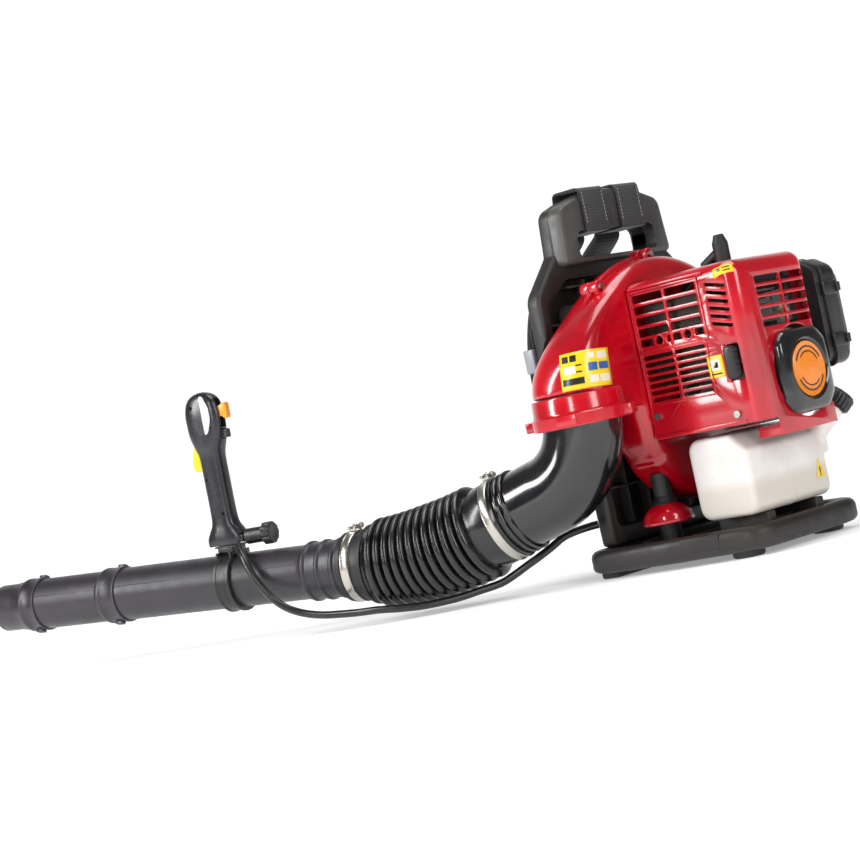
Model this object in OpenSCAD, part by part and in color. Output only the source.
/* [Frame] */
// Half width of the base tray at the front
base_half_w = 148; // [140:1:160]
// Half width of the base tray at the rear
base_rear_half_w = 112; // [100:1:125]
// Length of the base tray, front to rear
base_len = 235; // [225:1:245]
// Height of the base rim above the floor
base_top = 38; // [34:1:42]
// Height of the carry handle's top
handle_top = 489; // [480:1:495]
// Half width of the carry handle
handle_half_w = 109; // [100:1:115]
// Half width of the widest part of the back frame
back_half_w = 160; // [150:1:168]

/* [Blower] */
// Height of the fan and crank axis above the floor
axis_z = 208; // [200:1:215]
// Scroll radius where the scroll begins
scroll_r0 = 120; // [116:1:124]
// Growth of the scroll radius from its beginning to the outlet
scroll_growth = 82; // [76:1:86]
// Front face of the fan case
case_x0 = 30; // [26:1:34]
// Rear face of the fan case
case_x1 = 97; // [92:1:102]
// Wall of the plastic casings
wall = 3; // [2.5:0.5:3.5]
// Radius of the fan
fan_r = 108; // [100:1:110]

/* [Air tube] */
// Place of the vertical outlet axis, front to rear
outlet_x = 45; // [40:1:50]
// Distance of the outlet axis from the middle plane
outlet_off = 170; // [166:1:178]
// Outside radius of the elbow
elbow_r = 50; // [48:0.5:52]
// Angle by which the tube points outward
hose_yaw = 15; // [10:1:18]
// Angle by which the pipes rise toward the nozzle
pipe_rise = 3; // [2:0.5:4]
// Outside radius of the blower pipes
pipe_r = 36; // [34:0.5:37]
// Outside radius of the bellows' ridges
bellows_r = 62; // [58:0.5:63]
// Length of the pipe that carries the control grip
swivel_len = 426; // [415:1:440]
// Length of the middle pipe
middle_len = 136; // [130:1:150]
// Length of the nozzle
nozzle_len = 52; // [50:1:70]

/* [Control grip] */
// Distance of the grip along the swivel pipe
grip_at = 220; // [205:1:225]
// Height of the grip's top above the pipe axis
grip_top = 257; // [250:1:265]
// Lean of the grip toward the nozzle
grip_lean = 2; // [0:1:5]

/* [Engine] */
// Place of the cylinder axis, front to rear
bore_x = 180; // [178:1:182]
// Radius of the cylinder bore
bore_r = 24; // [22:0.5:24]
// Rear face of the engine cover
cover_x1 = 261; // [258:1:264]
// Top of the engine cover
cover_top = 355; // [350:1:360]
// Near side of the engine cover, from the middle plane
cover_side = 100; // [98:1:104]

/* [Hidden] */
$fn = 64;
case_mid = 62;
elbow_bend = 74;
elbow_bend_r = 90;
elbow_top_z = 206;
elbow_straight = 90;
elbow_end_x = elbow_bend_r * (1 - cos(elbow_bend)) + elbow_straight * sin(elbow_bend);
elbow_end_z = elbow_top_z - elbow_bend_r * sin(elbow_bend) - elbow_straight * cos(elbow_bend);
flex_turn = 90 - elbow_bend + pipe_rise;
flex_r = 532;
flex_end_x = elbow_end_x + flex_r * (sin(90 - elbow_bend) + sin(pipe_rise));
flex_end_z = elbow_end_z - flex_r * (cos(pipe_rise) - cos(90 - elbow_bend));
reel_r = 26;
reel_x = 234;
cover_screws = [[108, 188], [226, 172]];
lug_angles = [10, 50, 92, 128, -40];
cap_pos = [235, 95, 158];
cap_turn = [0, 48, 50];
cable_d = 10;
// Route of the throttle cable, in the tube's own upright frame
cable_front = [[516, 26, 132], [508, 36, 124], [499, 44, 113], [491, 48, 98], [483, 50, 84], [472, 50, 67],
    [459, 49, 52], [443, 48, 40], [422, 47, 31], [397, 46, 25], [370, 45, 22], [342, 44, 20], [314, 43, 19],
    [286, 40, 16], [258, 35, 14], [231, 28, 14], [205, 20, 15.5], [180, 12, 19]];
cable_rear = [[180, 12, 19], [155, 4, 22.5], [138, -2, 29], [120, -10, 38], [104, -18, 46], [90, -27, 54],
    [76, -37, 63], [62, -46, 67], [48, -54, 69], [36, -61, 70]];
// Outline of the grip in its own frame, as [x, z]
grip_outline = rounded([[-30, 50, 3], [30, 50, 3], [26, 68, 8], [17.5, 80, 10], [17, 172, 20], [27.5, 196, 24],
    [27, 244, 20], [10, grip_top, 16], [-14, grip_top, 18], [-28, 240, 18], [-27, 196, 24], [-17, 172, 20],
    [-17.5, 80, 10], [-26, 68, 8]]);
grip_inner = rounded([[-26, 53, 3], [26, 53, 3], [23, 66, 8], [14.5, 80, 10], [14.5, 174, 20], [24.5, 197, 22],
    [24, 242, 18], [9, grip_top - 3, 14], [-13, grip_top - 3, 16], [-25, 238, 16], [-24, 197, 22],
    [-14.5, 174, 20], [-14.5, 80, 10], [-23, 66, 8]]);

function unit(v) = v / norm(v);
function corner(a, b, c, r, n) =
    let (u = unit([a[0] - b[0], a[1] - b[1]]),
         w = unit([c[0] - b[0], c[1] - b[1]]),
         half = acos(u * w) / 2,
         reach = r / tan(half),
         o = [b[0], b[1]] + unit(u + w) * r / sin(half),
         s = [b[0], b[1]] + u * reach - o,
         e = [b[0], b[1]] + w * reach - o,
         a0 = atan2(s[1], s[0]),
         turn = (atan2(e[1], e[0]) - a0 + 540) % 360 - 180)
    [for (i = [0:n]) o + r * [cos(a0 + turn * i / n), sin(a0 + turn * i / n)]];
function rounded(p, n = 5) = [for (i = [0:len(p) - 1])
    each p[i][2] > 0 ? corner(p[(i + len(p) - 1) % len(p)], p[i], p[(i + 1) % len(p)], p[i][2], n)
        : [[p[i][0], p[i][1]]]];
function mirrored(p) = concat(p, [for (i = [len(p) - 1:-1:0]) [-p[i][0], p[i][1], p[i][2]]]);
function scroll_r(a) = scroll_r0 + scroll_growth * (a + 140) / 320;
function scroll_pt(a, grow) = let (r = scroll_r(a) + grow) [r * cos(a), axis_z + r * sin(a)];

// Extrudes an outline given as [y, z] from x0 to x1
module plate_x(pts, x0, x1) {
    translate([x0, 0, 0]) rotate([90, 0, 90]) linear_extrude(x1 - x0) polygon(pts);
}
// Extrudes an outline given as [x, z] from y0 to y1
module plate_y(pts, y0, y1) {
    translate([0, y1, 0]) rotate([90, 0, 0]) linear_extrude(y1 - y0) polygon(pts);
}
module rod_x(r, x0, x1, y = 0, z = axis_z) {
    translate([x0, y, z]) rotate([0, 90, 0]) cylinder(r = r, h = x1 - x0);
}
module rod_y(r, y0, y1, x = 0, z = 0) {
    translate([x, y1, z]) rotate([90, 0, 0]) cylinder(r = r, h = y1 - y0);
}
module block(lo, hi) {
    translate(lo) cube(hi - lo);
}
// Upright frame of the air tube: x runs outward along the tube, z up from the floor
module tube_frame() {
    translate([outlet_x, -outlet_off, 0]) rotate([0, 0, 180 + hose_yaw]) children();
}
// Frame of the pipes: x along their axis from the bellows' end
module pipe_frame() {
    tube_frame() translate([flex_end_x, 0, flex_end_z]) rotate([0, -pipe_rise, 0]) children();
}
// Frame at the elbow's lower end: z points out of it
module elbow_end_frame() {
    tube_frame() translate([elbow_end_x, 0, elbow_end_z]) rotate([0, 180 - elbow_bend, 0]) children();
}
module grip_frame() {
    pipe_frame() translate([grip_at, 0, 0]) rotate([0, grip_lean, 0]) children();
}
module tube_x(ro, ri, x0, x1) {
    difference() {
        translate([x0, 0, 0]) rotate([0, 90, 0]) cylinder(r = ro, h = x1 - x0);
        translate([x0 - 1, 0, 0]) rotate([0, 90, 0]) cylinder(r = ri, h = x1 - x0 + 2);
    }
}
module base_outline(inset, z0, z1) {
    w0 = base_half_w - inset;
    w1 = base_rear_half_w - inset;
    front = -18 + inset;
    rear = base_len - inset;
    pts = rounded([[front, -w0, 22], [110, -w0 + 8, 60], [rear, -w1, 40], [rear, w1, 40],
        [110, w0 - 8, 60], [front, w0, 22]], 8);
    translate([0, 0, z0]) linear_extrude(z1 - z0) polygon(pts);
}

module base_frame() color("#2b2826") {
    difference() {
        union() {
            base_outline(6, 8, 14);
            base_outline(0, 14, base_top);
        }
        base_outline(22, 18, base_top + 1);
    }
    // Front runner and rear feet
    block([-14, -125, 0], [14, 125, 9]);
    for (s = [-1, 1]) {
        translate([190, s * 87, 0]) cylinder(r = 20, h = 9);
        translate([70, s * 75, 17]) cylinder(r = 22, h = 13);
    }
    // Cross ribs inside the tray
    for (x = [30, 110, 175]) block([x - 3, -82, 17], [x + 3, 82, 36]);
    // Tank saddles
    for (y = [-60, 45]) block([140, y - 8, 17], [216, y + 8, 48.8]);
}

module back_frame() color("#2b2826") {
    half = [[40, handle_top, 30], [handle_half_w - 5, 468, 18], [handle_half_w + 1, 412, 8],
        [back_half_w, 362, 25], [back_half_w + 2, 225, 20], [116, 192, 25], [112, base_top + 0.2, 0]];
    outline = rounded(mirrored(half));
    grip_half = [[40, handle_top, 30], [handle_half_w - 5, 468, 18], [handle_half_w + 1, 396, 8]];
    difference() {
        union() {
            plate_x(outline, -14, 8);
            plate_x(rounded(mirrored(grip_half)), -16, 25);
        }
        // Hand hole
        plate_x(rounded(mirrored([[80, 437, 12], [80, 403, 8]])), -30, 40);
        // Lightening pocket behind the pad
        plate_x(rounded(mirrored([[98, 380, 12], [144, 350, 20], [144, 238, 20], [98, 205, 20],
            [98, 60, 10]])), -9, 20);
        // Scallop round the outlet
        outlet_duct(66, 140, 262);
        translate([outlet_x, -outlet_off, 261.9]) cylinder(r1 = 66, r2 = 28, h = 70);
        // Holes of the upper vibration mounts
        for (s = [-1, 1]) rod_x(4, -20, 20, s * 90, 330);
    }
}

module back_pad() color("#161616") {
    half = [[118, 352, 22], [150, 330, 22], [152, 240, 25], [108, 196, 25], [104, 96, 25]];
    plate_x(rounded(mirrored(half)), -42, -14.3);
}

// One padded shoulder strap with its wrap round the handle
module strap(s) {
    w0 = s * 37 - 25;
    w1 = s * 37 + 25;
    ring = [[-19.4, 433.8], [-19.4, 472], [-17, 492.4], [26, 492.4], [28.4, 472], [28.4, 433.8]];
    hole = [[-16.4, 436.8], [-16.4, 489.4], [25.4, 489.4], [25.4, 436.8]];
    difference() {
        plate_y(ring, w0, w1);
        plate_y(hole, w0 - 1, w1 + 1);
    }
    outer = [[-19, 440], [-19, 425], [-46, 400], [-84, 352], [-104, 290], [-104, 230], [-88, 170],
        [-60, 126], [-52, 122]];
    inner = [[-56, 118], [-64, 122], [-98, 166], [-116, 228], [-116, 294], [-95, 360], [-54, 410],
        [-24, 434], [-24, 440]];
    plate_y(concat(outer, inner), w0, w1);
}

module shoulder_straps() color("#181818") {
    for (s = [-1, 1]) strap(s);
}

module strap_buckles() color("#8e9096") {
    for (s = [-1, 1]) {
        difference() {
            block([-60, s * 37 - 31, 100], [-48, s * 37 + 31, 117.6]);
            block([-61, s * 37 - 26, 104], [-47, s * 37 + 26, 107]);
            block([-61, s * 37 - 26, 111], [-47, s * 37 + 26, 114]);
        }
        block([-47.8, s * 37 - 25, 101], [-42.3, s * 37 + 25, 108]);
        block([-34, s * 157 - 4.5, 272], [-18, s * 157 + 4.5, 302]);
    }
}

// Scroll solid between two x planes, grown by an offset
module scroll(grow, x0, x1) {
    plate_x([for (a = [-140:5:180]) scroll_pt(a, grow)], x0, x1);
}
module scroll_body(grow, inset) {
    scroll(grow - 16, case_x0 + inset, case_x1 - inset);
    scroll(grow - 7, case_x0 + 7 + inset, case_x1 - 7 - inset);
    scroll(grow, case_x0 + 17 + inset, case_x1 - 19 - inset);
}
module outlet_duct(r, z0, z1) {
    translate([outlet_x, -outlet_off, z0]) cylinder(r = r, h = z1 - z0);
}
module duct_body(grow) {
    r = elbow_r + 4 + grow;
    outlet_duct(r, 216, 250);
    hull() {
        translate([outlet_x, -outlet_off, 249]) cylinder(r = r, h = 1, $fn = 32);
        block([case_x0 + 8 - grow, -192 - grow, 318], [case_x1 - 10 + grow, -100, 320]);
    }
}
module fan_case() {
    difference() {
        union() {
            difference() {
                scroll_body(0, 0);
                outlet_duct(elbow_r + 8.4, 100, 236.3);
                outlet_duct(elbow_r + 11.4, 100, 214.4);
            }
            duct_body(0);
        }
        scroll_body(-wall, wall);
        duct_body(-wall);
    }
}
// Bolt lugs round the seam of the fan case
module seam_lugs(x0, x1) {
    for (a = lug_angles) {
        r = scroll_r(a) + 4;
        difference() {
            rod_x(9, x0, x1, r * cos(a), axis_z + r * sin(a));
            rod_x(2.6, x0 - 1, x1 + 1, r * cos(a), axis_z + r * sin(a));
            scroll(-1, x0 - 1, x1 + 1);
        }
    }
}

module fan_case_front() color("#c8102e") {
    difference() {
        intersection() {
            fan_case();
            block([0, -300, 0], [case_mid - 0.2, 300, 500]);
        }
        rod_x(78, 0, case_x0 + 10);
    }
    seam_lugs(case_mid - 12, case_mid - 0.2);
}

module fan_case_rear() color("#c8102e") {
    difference() {
        intersection() {
            fan_case();
            block([case_mid + 0.2, -300, 0], [200, 300, 500]);
        }
        rod_x(14, case_x1 - 30, case_x1 + 5);
    }
    seam_lugs(case_mid + 0.2, case_mid + 12);
}

module outlet_collar() color("#c8102e") {
    difference() {
        union() {
            translate([outlet_x, -outlet_off, 0]) rotate_extrude() polygon([[elbow_r + 1.3, 198],
                [elbow_r + 11, 198], [elbow_r + 11, 214], [elbow_r + 8, 214], [elbow_r + 8, 236],
                [elbow_r + 4.2, 236], [elbow_r + 4.2, 215.8], [elbow_r + 1.3, 215.8]]);
            tube_frame() block([56, -12, 201], [72, 12, 212]);
            translate([outlet_x, -outlet_off, 201]) rotate([0, 0, 20]) block([56, -11, 0], [70, 11, 11]);
        }
        tube_frame() block([40, -1.5, 190], [80, 1.5, 213]);
    }
}

module housing_screws() color("#9a9a9c") {
    for (a = lug_angles) {
        r = scroll_r(a) + 4;
        rod_x(2.4, case_mid - 10, case_mid + 12.2, r * cos(a), axis_z + r * sin(a));
        rod_x(3.4, case_mid + 12.2, case_mid + 16, r * cos(a), axis_z + r * sin(a));
    }
    for (p = cover_screws) {
        rod_y(4.5, -cover_side - 3, -cover_side, p[0], p[1]);
        rod_y(2.4, -cover_side, -cover_side + 10, p[0], p[1]);
    }
}

module intake_guard() color("#2b2826") {
    difference() {
        rod_x(84, case_x0 - 6, case_x0 - 0.2);
        rod_x(76, case_x0 - 7, case_x0 + 1);
    }
    for (r = [22, 40, 58]) difference() {
        rod_x(r + 1.6, case_x0 - 6, case_x0 - 2);
        rod_x(r - 1.6, case_x0 - 7, case_x0);
    }
    for (a = [0:60:300]) translate([case_x0 - 5.5, 0, axis_z]) rotate([a, 0, 0])
        translate([0, -1.5, 22]) cube([3, 3, 56]);
}

// Outline of one fan blade, hub to tip
function blade_pt(t, off) = let (r = 44 + (fan_r - 46) * t, a = 38 * t)
    [r * cos(a) - off * sin(a), r * sin(a) + off * cos(a)];
module fan() color("#3a3a3c") {
    difference() {
        union() {
            rod_x(fan_r, 80, 83);
            rod_x(44, 46, 82);
        }
        rod_x(8.02, 40, 90);
    }
    difference() {
        rod_x(fan_r, 42, 44.5);
        rod_x(92, 41, 46);
    }
    for (i = [0:13]) translate([44, 0, axis_z]) rotate([i * 360 / 14, 0, 0]) rotate([90, 0, 90])
        linear_extrude(36.5) polygon(concat([for (t = [0:0.2:1]) blade_pt(t, 1.2)],
            [for (t = [1:-0.2:0]) blade_pt(t, -1.2)]));
}

module crankshaft() color("#9c9c9c") {
    rod_x(8, 42, 168);
    rod_x(8, 192, 229);
    for (x = [160, 190]) rod_x(30, x, x + 10);
    rod_x(7, 168, 192, 0, axis_z + 17);
}

module flywheel() color("#a8a8a8") {
    difference() {
        union() {
            rod_x(46, 106, 120);
            rod_x(20, 100, 126);
        }
        rod_x(8.02, 90, 140);
        for (a = [0:45:315]) translate([104, 0, axis_z]) rotate([a, 0, 0]) translate([0, 0, 33])
            rotate([0, 90, 0]) cylinder(r = 7, h = 8);
    }
}

module crank_bearings() color("#c0c0c4") {
    for (x = [140, 211]) difference() {
        rod_x(17, x, x + 10);
        rod_x(8.05, x - 1, x + 11);
    }
}

module crankcase() color("#8c8c8e") {
    difference() {
        union() {
            rod_x(44, 136, 224);
            block([140, -38, axis_z], [220, 38, 256]);
            block([150, -30, 153.5], [210, 30, 180]);
        }
        rod_x(34, 152, 208);
        rod_x(17.02, 139.9, 153);
        rod_x(17.02, 207, 221.1);
        rod_x(9.5, 130, 230);
        translate([bore_x, 0, axis_z]) cylinder(r = bore_r + 0.5, h = 60);
    }
}

module cylinder_fin(z, w) {
    translate([0, 0, z]) linear_extrude(2.4)
        polygon(rounded([[bore_x - w, -w, 10], [bore_x + w, -w, 10], [bore_x + w, w, 10],
            [bore_x - w, w, 10]], 4));
}
module cylinder_block() color("#a4a4a6") {
    difference() {
        union() {
            translate([bore_x, 0, 256]) cylinder(r = 31, h = 68);
            block([bore_x - 34, -34, 256], [bore_x + 34, 34, 262]);
            for (i = [0:7]) cylinder_fin(267 + i * 7.6, 42);
            block([bore_x - 18, -47.8, 282], [bore_x + 18, -30, 306]);
            block([bore_x - 16, 30, 282], [bore_x + 16, 47.8, 304]);
            translate([bore_x, 0, 320]) cylinder(r = 15, h = 12);
        }
        translate([bore_x, 0, 250]) cylinder(r = bore_r, h = 66);
        translate([bore_x, 0, 300]) cylinder(r = 6, h = 40);
        rod_y(9, -60, -10, bore_x, 294);
        rod_y(9, 10, 60, bore_x, 293);
    }
}

module piston() color("#b8b8ba") {
    difference() {
        translate([bore_x, 0, 264]) cylinder(r = bore_r - 0.05, h = 30);
        translate([bore_x, 0, 263]) cylinder(r = bore_r - 4, h = 26);
        for (z = [284, 289]) translate([bore_x, 0, z]) difference() {
            cylinder(r = bore_r + 1, h = 1.5);
            cylinder(r = bore_r - 1.5, h = 1.5);
        }
        rod_y(5, -30, 30, bore_x, 275);
    }
    rod_y(4.95, -17, 17, bore_x, 275);
}

module muffler() color("#6d6a68") {
    difference() {
        union() {
            plate_y(rounded([[112, 222, 10], [204, 222, 10], [204, 326, 10], [112, 326, 10]]), -91, -50);
            block([bore_x - 18, -50.1, 280], [bore_x + 18, -48, 308]);
        }
        plate_y(rounded([[115, 225, 8], [201, 225, 8], [201, 323, 8], [115, 323, 8]]), -88.5, -52.5);
        rod_y(8.5, -60, -40, bore_x, 294);
        for (x = [132, 166]) rod_y(5, -100, -80, x, 281);
    }
}

module spark_plug() color("#d8d8d4") {
    translate([bore_x, 0, 318]) cylinder(r = 5.9, h = 16);
    translate([bore_x, 0, 332.1]) cylinder(r = 10, h = 8, $fn = 6);
    translate([bore_x, 0, 340]) cylinder(r = 5, h = 24);
}

module plug_boot() color("#141414") {
    difference() {
        union() {
            translate([bore_x, 0, 342]) cylinder(r = 10, h = 40);
            translate([bore_x, 0, 382]) cylinder(r1 = 10, r2 = 6, h = 11);
            translate([bore_x, 0, 374]) rotate([0, -118, 0]) cylinder(r = 6.5, h = 34);
        }
        translate([bore_x, 0, 340]) cylinder(r = 5.2, h = 26);
    }
}

module plug_lead() color("#181818") {
    translate([bore_x - 30.4, 0, 357.8]) rotate([0, -118, 0]) cylinder(r = 3.5, h = 42);
    rod_y(4, -3.4, 3.4, bore_x - 67.5, 338.1);
    translate([bore_x - 67.5, 0, 290.2]) cylinder(r = 3.5, h = 48);
}

module ignition_coil() color("#202022") {
    block([107, -16, 262], [119, 16, 290]);
    for (s = [-1, 1]) block([107, s * 12 - 4, 255], [119, s * 12 + 4, 262]);
}

module carburettor() color("#a2a2a0") {
    difference() {
        union() {
            block([bore_x - 17, 48, 275], [bore_x + 17, 58, 311]);
            block([bore_x - 20, 58, 272], [bore_x + 20, 92, 312]);
            block([bore_x - 15, 64, 264], [bore_x + 15, 86, 272]);
        }
        rod_y(9, 40, 100, bore_x, 293);
        rod_x(2.05, bore_x + 5, bore_x + 30, 82, 306);
    }
}

module choke_lever() color("#1c1c1c") {
    rod_x(2, bore_x + 12, bore_x + 27, 82, 306);
    block([bore_x + 23, 78, 302], [bore_x + 27, 86, 328]);
    block([bore_x + 21, 77, 328], [bore_x + 31, 87, 336]);
}

module primer_bulb() color("#d9d4c4") {
    translate([bore_x + 20.4, 70, 284]) rotate([0, 90, 0]) rotate_extrude()
        polygon([[0, 0], [9.5, 0], [9.5, 2], [8, 2], [7.6, 5], [6, 8], [3.4, 10], [0, 10.6]]);
}

module air_cleaner_base() color("#1b1b1c") {
    difference() {
        plate_y(rounded([[132, 208, 12], [243, 208, 12], [243, 328, 16], [222, 340, 10], [132, 340, 16]]), 92.2,
            104);
        plate_y(rounded([[136, 212, 10], [239, 212, 10], [239, 326, 14], [220, 336, 8], [136, 336, 12]]), 97,
            106);
        rod_y(10, 90, 100, bore_x, 293);
    }
    rod_y(5, 96.9, 155, 214, 250);
}

module air_filter() color("#c9c4b2") {
    difference() {
        plate_y(rounded([[142, 218, 8], [200, 218, 8], [200, 330, 8], [142, 330, 8]]), 97.4, 132);
        plate_y(rounded([[154, 230, 6], [188, 230, 6], [188, 318, 6], [154, 318, 6]]), 97, 122);
    }
}

module air_cleaner_cover() color("#1b1b1c") {
    outer = rounded([[130, 205, 14], [245, 205, 14], [245, 328, 18], [222, 342, 12], [130, 342, 18]]);
    inner = rounded([[133, 208, 12], [242, 208, 12], [242, 326, 16], [220, 339, 10], [133, 339, 16]]);
    front = rounded([[138, 213, 14], [237, 213, 14], [237, 322, 16], [216, 334, 12], [138, 334, 18]]);
    difference() {
        union() {
            plate_y(outer, 104.2, 142);
            plate_y(front, 142, 156);
        }
        plate_y(inner, 103, 139);
        plate_y(rounded([[142, 217, 12], [233, 217, 12], [233, 318, 14], [142, 318, 14]]), 138, 152.5);
        rod_y(5.4, 100, 170, 214, 250);
        rod_y(15, 148, 170, 214, 250);
    }
    difference() {
        rod_y(18, 145, 152.5, 214, 250);
        rod_y(15, 148, 170, 214, 250);
        rod_y(5.4, 100, 170, 214, 250);
    }
}

module cleaner_knob() color("#141414") {
    difference() {
        union() {
            rod_y(13, 148.4, 160, 214, 250);
            block([210.5, 160, 239], [217.5, 166, 261]);
        }
        rod_y(5.05, 140, 156, 214, 250);
    }
}

// Rows and columns of slots, each a box in the wall's plane
module slots_y(x0, z0, w, h, cols, rows, rib) {
    cw = (w - (cols - 1) * rib) / cols;
    rh = (h - (rows - 1) * rib) / rows;
    for (c = [0:cols - 1]) for (r = [0:rows - 1])
        block([x0 + c * (cw + rib), -cover_side - 5, z0 + r * (rh + rib)],
            [x0 + c * (cw + rib) + cw, -cover_side + wall + 2, z0 + r * (rh + rib) + rh]);
}
module slots_x(y0, z0, w, h, cols, rows, rib) {
    cw = (w - (cols - 1) * rib) / cols;
    rh = (h - (rows - 1) * rib) / rows;
    for (c = [0:cols - 1]) for (r = [0:rows - 1])
        block([cover_x1 - wall - 2, y0 + c * (cw + rib), z0 + r * (rh + rib)],
            [cover_x1 + 5, y0 + c * (cw + rib) + cw, z0 + r * (rh + rib) + rh]);
}
module cover_body(inset, z0, z1, x0) {
    translate([0, 0, z0]) linear_extrude(z1 - z0)
        polygon(rounded([[x0, -cover_side + inset, 0], [cover_x1 - inset, -cover_side + inset, 24 - inset],
            [cover_x1 - inset, 58 - inset, 24 - inset], [x0, 58 - inset, 0]], 8));
}
module engine_cover() color("#c8102e") {
    difference() {
        union() {
            cover_body(0, 159, cover_top - 12, 98);
            cover_body(5, cover_top - 12, cover_top - 5, 98);
            cover_body(12, cover_top - 5, cover_top, 98);
            block([228, -64, 137], [cover_x1, 50, 160]);
        }
        cover_body(wall, 150, cover_top - 14, 90);
        cover_body(wall + 5, cover_top - 15, cover_top - 8, 90);
        cover_body(wall + 12, cover_top - 9, cover_top - wall, 90);
        block([220, -61, 130], [cover_x1 - wall, 47, 161]);
        // Carburettor side is open
        block([90, 50, 200], [232, 70, 335]);
        rod_x(57, cover_x1 - 20, cover_x1 + 10);
        translate([bore_x, 0, 330]) cylinder(r = 16, h = 40);
        block([120, -8, 330], [bore_x, 8, 370]);
        slots_y(104, 273, 98, 66, 2, 5, 4);
        slots_y(104, 205, 94, 58, 2, 7, 3.5);
        slots_x(-60, 267, 105, 63, 2, 5, 4);
        // Recess of the starter grip
        block([228, -cover_side - 5, 212], [246, -cover_side + wall + 4, 256]);
        for (p = cover_screws) rod_y(2.6, -cover_side - 1, -cover_side + 12, p[0], p[1]);
    }
}

module starter_housing() color("#151515") {
    difference() {
        union() {
            rod_x(55, 230, 268);
            translate([268, 0, axis_z]) rotate([0, 90, 0]) cylinder(r1 = 55, r2 = 46, h = 5);
        }
        rod_x(51, 220, 247);
        rod_x(35, 269, 280);
        block([228, -60, 226], [244, -40, 242]);
    }
    rod_x(6, reel_x - 1, 248);
}

module starter_badge() color("#f08a1e") {
    rod_x(34, 269.1, 272.5);
}

module starter_reel() color("#e8e6e0") {
    difference() {
        union() {
            rod_x(34, reel_x, reel_x + 2);
            rod_x(reel_r - 4, reel_x + 2, reel_x + 7);
            rod_x(34, reel_x + 7, reel_x + 9);
        }
        rod_x(6.05, reel_x - 5, reel_x + 20);
    }
}

module recoil_spring() color("#9c9c9c") {
    for (r = [12, 18, 24, 30]) difference() {
        rod_x(r + 0.6, reel_x + 9.4, reel_x + 12.6);
        rod_x(r, reel_x, reel_x + 20);
    }
}

module starter_rope() color("#d8d6d0") {
    rod_y(1.7, -93.8, -2, reel_x + 4.5, axis_z + reel_r);
}

module starter_grip() color("#141414") {
    plate_y(rounded([[230, 214, 5], [244, 214, 5], [244, 254, 5], [230, 254, 5]]), -112, -97);
    rod_y(4, -97.1, -94, reel_x + 4.5, axis_z + reel_r);
}

module tank_block(inset) {
    pts = rounded([[135 + inset, 49 + inset, 16 - inset], [222 - inset, 49 + inset, 14 - inset],
        [222 - inset, 128 - inset, 6], [214 - inset, 134 - inset, 6], [200 - inset, 149 - inset, 6],
        [135 + inset, 151 - inset, 16 - inset]]);
    plate_y(pts, -95 + inset, 70 - inset);
}
module tank_neck(r, z0, z1) {
    translate(cap_pos) rotate(cap_turn) translate([0, 0, z0]) cylinder(r = r, h = z1 - z0);
}
module fuel_tank() color("#e8e4e2") {
    difference() {
        union() {
            tank_block(0);
            tank_neck(16, -62, -6);
            plate_y([[170, 100], [221, 100], [221, 127], [205, 133], [170, 133]], 60, 82);
        }
        tank_block(2.5);
        tank_neck(12, -66, 0);
    }
}
module fuel_cap() color("#1c1c1c") {
    difference() {
        union() {
            tank_neck(19, -3.8, 13);
            tank_neck(16.5, 12.9, 15);
        }
        for (a = [0:15:345]) translate(cap_pos) rotate(cap_turn) rotate([0, 0, a])
            translate([19.6, 0, -5]) cylinder(r = 1.4, h = 17, $fn = 16);
    }
    tank_neck(10.5, -16, -3.8);
}
module cap_gasket() color("#30302e") {
    difference() {
        tank_neck(16, -5.8, -4);
        tank_neck(10.9, -7, -3);
    }
}
module fuel_line() color("#b8a860") {
    translate([160, 30, 60]) cylinder(r = 6, h = 22);
    translate([160, 30, 82]) cylinder(r = 2.5, h = 64);
}

module mount_bells() color("#c8102e") {
    for (s = [-1, 1]) difference() {
        translate([70, s * 75, 0]) {
            translate([0, 0, 60]) cylinder(r1 = 28, r2 = 15, h = 22);
            translate([0, 0, 55]) cylinder(r = 28, h = 5);
            translate([0, 0, 75]) cylinder(r = 12, h = s < 0 ? 45 : 20);
        }
        translate([70, s * 75, 50]) cylinder(r = 17, h = 22);
        scroll(0.4, 20, 110);
    }
}
module vibration_mounts() color("#1d1d1d") {
    for (s = [-1, 1]) {
        translate([70, s * 75, 30]) cylinder(r = 14, h = 41.8);
        rod_x(14, 8.2, 29.8, s * 90, 330);
        rod_x(3.8, -12, 8.3, s * 90, 330);
    }
}

// Points and rings of a swept tube
function ring(p, t, r, n) = let (u = unit(cross(t, [0, 1, 0])), v = unit(cross(t, u)))
    [for (k = [0:n - 1]) p + r * (cos(360 * k / n) * u + sin(360 * k / n) * v)];
function tangent(path, i) = unit(path[min(i + 1, len(path) - 1)] - path[max(i - 1, 0)]);
module sweep(path, radii, n) {
    m = len(path);
    points = [for (i = [0:m - 1]) each ring(path[i], tangent(path, i), radii[i], n)];
    sides = [for (i = [0:m - 2]) for (k = [0:n - 1])
        [i * n + k, (i + 1) * n + k, (i + 1) * n + (k + 1) % n, i * n + (k + 1) % n]];
    polyhedron(points, concat([[for (k = [0:n - 1]) k]], sides, [[for (k = [n - 1:-1:0]) (m - 1) * n + k]]));
}
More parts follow.
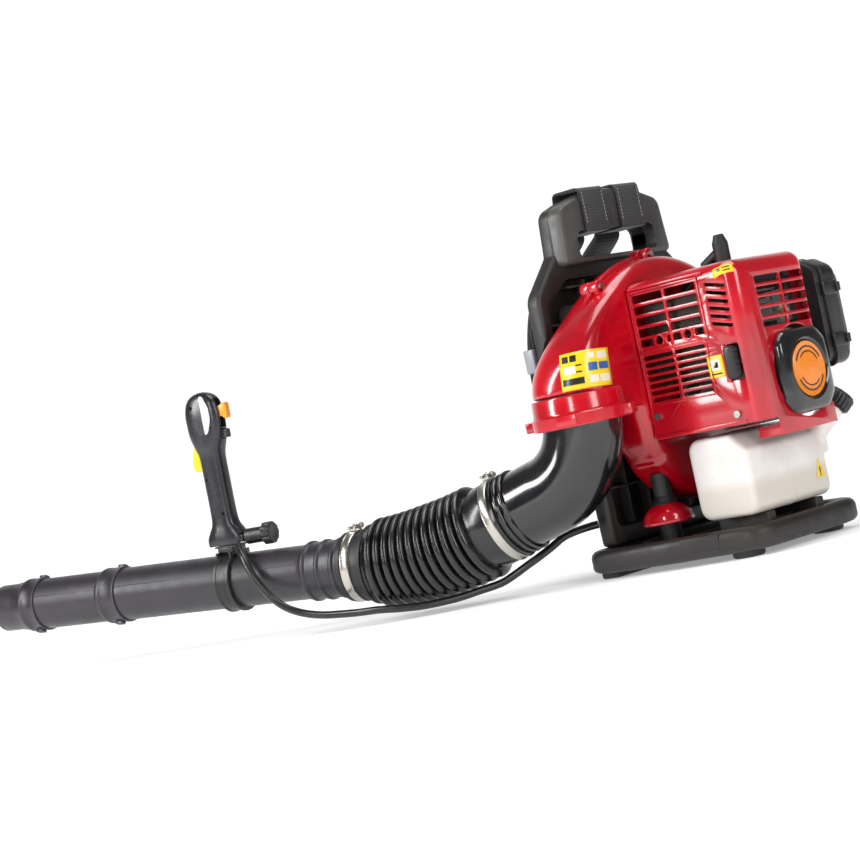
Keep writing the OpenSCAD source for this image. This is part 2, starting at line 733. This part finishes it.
// Points on the elbow's axis: its top, its bend and its lower end
function top_pt(z) = [0, 0, z];
function bend_pt(a) = [elbow_bend_r * (1 - cos(a)), 0, elbow_top_z - elbow_bend_r * sin(a)];
function end_pt(d) = [elbow_end_x + d * sin(elbow_bend), 0, elbow_end_z - d * cos(elbow_bend)];
module elbow() color("#26272c") {
    outer = concat([for (p = [[240, 0], [233, 0], [232, 0.6], [223, 0.6], [222, 0]]) [top_pt(p[0]), elbow_r + p[1]]],
        [for (a = [0:elbow_bend / 6:elbow_bend]) [bend_pt(a), elbow_r]],
        [for (p = [[-54.5, 0], [-53.5, 4], [-49.5, 4], [-48.5, 0], [-45.5, 0], [-44.5, 4], [-40.5, 4], [-39.5, 0],
            [0, 0]]) [end_pt(p[0]), elbow_r + p[1]]]);
    inner = concat([top_pt(242)], [for (a = [0:elbow_bend / 6:elbow_bend]) bend_pt(a)], [end_pt(2)]);
    tube_frame() difference() {
        sweep([for (p = outer) p[0]], [for (p = outer) p[1]], 32);
        sweep(inner, [for (p = inner) elbow_r - wall], 32);
    }
}

// Band with its tightening screw, in a frame whose z runs along the tube
module band_clamp(r, z0, turn) {
    difference() {
        translate([0, 0, z0]) cylinder(r = r + 1.2, h = 12);
        translate([0, 0, z0 - 1]) cylinder(r = r + 0.05, h = 14);
    }
    rotate([0, 0, turn]) {
        for (y = [-9, 6]) translate([r + 1, y, z0 + 1]) cube([10, 3, 10]);
        translate([r + 6, 16, z0 + 6]) rotate([90, 0, 0]) cylinder(r = 2.5, h = 34);
        translate([r + 6, 18, z0 + 6]) rotate([90, 0, 0]) cylinder(r = 4.5, h = 4);
    }
}
module rear_clamp() color("#b9b7b2") {
    elbow_end_frame() band_clamp(elbow_r + 3.6, -31, 180);
}

function flex_pt(a) = [elbow_end_x + flex_r * (sin(90 - elbow_bend) + sin(a)), 0,
    elbow_end_z + flex_r * (cos(90 - elbow_bend) - cos(a))];

function pipe_pt(d) = [flex_end_x + d * cos(pipe_rise), 0, flex_end_z + d * sin(pipe_rise)];

module bellows() color("#161617") {
    a0 = elbow_bend - 90;
    folds = 12;
    step = (flex_turn - 2) / (2 * folds);
    outer = concat([[end_pt(-36), elbow_r + 3.6], [end_pt(2), elbow_r + 3.6]],
        [for (i = [0:2 * folds]) [flex_pt(a0 + 1 + step * i),
            i % 2 == 0 ? bellows_r - 8 : bellows_r - 0.3 * max(0, i - folds)]],
        [[pipe_pt(-3.4), bellows_r - 10]]);
    inner = concat([[end_pt(-38), elbow_r + 0.4], [end_pt(1), elbow_r + 0.4], [end_pt(5), 46]],
        [for (i = [2:2 * folds]) if (i % 2 == 0) [flex_pt(a0 + 1 + step * i), 46]], [[pipe_pt(1), 46]]);
    tube_frame() difference() {
        sweep([for (p = outer) p[0]], [for (p = outer) p[1]], 24);
        sweep([for (p = inner) p[0]], [for (p = inner) p[1]], 24);
    }
}

module hose_cuff() color("#1b1b1d") {
    pipe_frame() {
        tube_x(45.5, 41.1, -1.8, 40);
        tube_x(52, 41.1, -1.8, 3);
    }
}
module front_clamp() color("#b9b7b2") {
    pipe_frame() rotate([0, 90, 0]) band_clamp(45.5, 19, 180);
}

module pipe_x(profile) {
    rotate([0, 90, 0]) rotate_extrude() polygon([for (p = profile) [p[1], p[0]]]);
}
module swivel_pipe() color("#3a363c") {
    r = pipe_r;
    pipe_frame() pipe_x([[1, 37], [1, 41], [40.5, 41], [41, 37.8], [46, 37.8], [48, 40], [52, 40], [54, 37.8],
        [68, 37.8], [70, 40], [74, 40], [76, 37.8], [90, 37.8], [92, 40], [96, 40], [98, 37.8], [106, r],
        [swivel_len, r], [swivel_len, r - 2.4], [106, r - 2.4], [96, 35.4], [44, 35.4], [38, 37]]);
}
module joint_lugs(s0, r) {
    for (a = [20, 200]) translate([s0, 0, 0]) rotate([a, 0, 0]) translate([0, -5, r - 1]) cube([12, 10, 4.5]);
}
module middle_pipe() color("#3a363c") {
    r = pipe_r - 1;
    end = swivel_len + middle_len;
    pipe_frame() {
        pipe_x([[swivel_len - 26, pipe_r + 0.1], [swivel_len - 26, pipe_r + 2.4], [swivel_len + 3, pipe_r + 2.4],
            [swivel_len + 8, r], [end, r], [end, r - 2.4], [swivel_len + 8, r - 2.4],
            [swivel_len + 1, r - 2.4], [swivel_len + 1, pipe_r + 0.1]]);
        joint_lugs(swivel_len - 14, pipe_r + 2.4);
    }
}
module nozzle() color("#3a363c") {
    r = pipe_r - 1;
    start = swivel_len + middle_len;
    end = start + nozzle_len;
    tip = r - 2.5;
    pipe_frame() {
        pipe_x([[start - 22, r + 0.08], [start - 22, r + 2.4], [start + 3, r + 2.4], [start + 8, r],
            [end - 26, tip], [end, tip], [end, tip - 2.4], [end - 26, tip - 2.4], [start + 8, r - 2.4],
            [start + 1, r - 2.4], [start + 1, r + 0.08]]);
        joint_lugs(start - 12, r + 2.4);
    }
}

module handle_clamp() color("#1e1e20") {
    pipe_frame() translate([grip_at, 0, 0]) {
        tube_x(pipe_r + 5.5, pipe_r + 0.05, -12, 12);
        difference() {
            union() {
                block([-12, -17, pipe_r + 3], [12, 17, 46.8]);
                block([-16, -17, 46.8], [16, 17, 49]);
                block([-9, pipe_r + 3, -14], [9, pipe_r + 13, 12]);
            }
            translate([0, pipe_r + 9, 20]) cylinder(r = 2.4, h = 40, center = true);
            rotate([0, 90, 0]) cylinder(r = pipe_r + 2, h = 60, center = true);
        }
    }
}
module clamp_knob() color("#151515") {
    grip_frame() translate([0, 0, 56]) rotate([0, -90, 0]) {
        translate([0, 0, 30.4]) cylinder(r = 10.5, h = 28);
        translate([0, 0, 58]) cylinder(r = 15, h = 14);
        translate([0, 0, -20]) cylinder(r = 4, h = 51);
    }
}

module grip_shell() {
    plate_y(grip_outline, 0.1, 12);
    plate_y(grip_inner, 12, 16.5);
}
module grip_cuts() {
    plate_y(grip_inner, -11, 11);
    // Slots of the trigger, the lock lever and the stop switch
    block([10, -6, 148], [40, 6, 196]);
    block([-40, -6, 206], [-18, 6, 246]);
    block([-40, -5, 190], [-20, 5, 204]);
    // Passage of the knob's bolt
    translate([0, 0, 56]) rotate([0, -90, 0]) cylinder(r = 4.1, h = 80, center = true);
    // Pins of the trigger and the lever
    rod_y(1.6, -20, 20, 12, 190);
    rod_y(1.6, -20, 20, -14, 226);
    // Cable outlet at the foot
    translate([-22, 6, 49]) cylinder(r = 5.6, h = 14);
}
module grip_left_half() color("#232327") {
    grip_frame() difference() {
        grip_shell();
        grip_cuts();
    }
}
module grip_right_half() color("#232327") {
    grip_frame() difference() {
        mirror([0, 1, 0]) grip_shell();
        grip_cuts();
    }
}

module throttle_trigger() color("#f2d000") {
    grip_frame() difference() {
        plate_y(rounded([[8, 195, 3], [17, 194, 3], [20, 184, 2], [27, 162, 4], [24, 152, 3], [16, 152, 2],
            [10, 170, 4], [8, 184, 3]]), -5.4, 5.4);
        rod_y(1.65, -10, 10, 12, 190);
    }
}
module throttle_lock() color("#e89a10") {
    grip_frame() difference() {
        union() {
            rod_y(5, -5.4, 5.4, -14, 226);
            plate_y(rounded([[-14, 222, 1], [-30, 220, 2], [-38, 212, 3], [-38, 240, 3], [-30, 236, 3],
                [-14, 230, 1]]), -5.4, 5.4);
        }
        rod_y(1.65, -10, 10, -14, 226);
    }
}
module stop_switch() color("#101010") {
    grip_frame() block([-33, -4.6, 191], [-19.5, 4.6, 203]);
}

module throttle_cable_front() color("#0e0e0e") {
    tube_frame() sweep(cable_front, [for (p = cable_front) cable_d / 2], 8);
}
module throttle_cable_rear() color("#0e0e0e") {
    tube_frame() sweep(cable_rear, [for (p = cable_rear) cable_d / 2], 8);
}

base_frame();
back_frame();
back_pad();
shoulder_straps();
strap_buckles();
fan_case_front();
fan_case_rear();
outlet_collar();
housing_screws();
intake_guard();
fan();
crankshaft();
flywheel();
crank_bearings();
crankcase();
cylinder_block();
piston();
muffler();
spark_plug();
plug_boot();
plug_lead();
ignition_coil();
carburettor();
choke_lever();
primer_bulb();
air_cleaner_base();
air_filter();
air_cleaner_cover();
cleaner_knob();
engine_cover();
starter_housing();
starter_badge();
starter_reel();
recoil_spring();
starter_rope();
starter_grip();
fuel_tank();
fuel_cap();
cap_gasket();
fuel_line();
mount_bells();
vibration_mounts();
elbow();
rear_clamp();
bellows();
hose_cuff();
front_clamp();
swivel_pipe();
middle_pipe();
nozzle();
handle_clamp();
clamp_knob();
grip_left_half();
grip_right_half();
throttle_trigger();
throttle_lock();
stop_switch();
throttle_cable_front();
throttle_cable_rear();
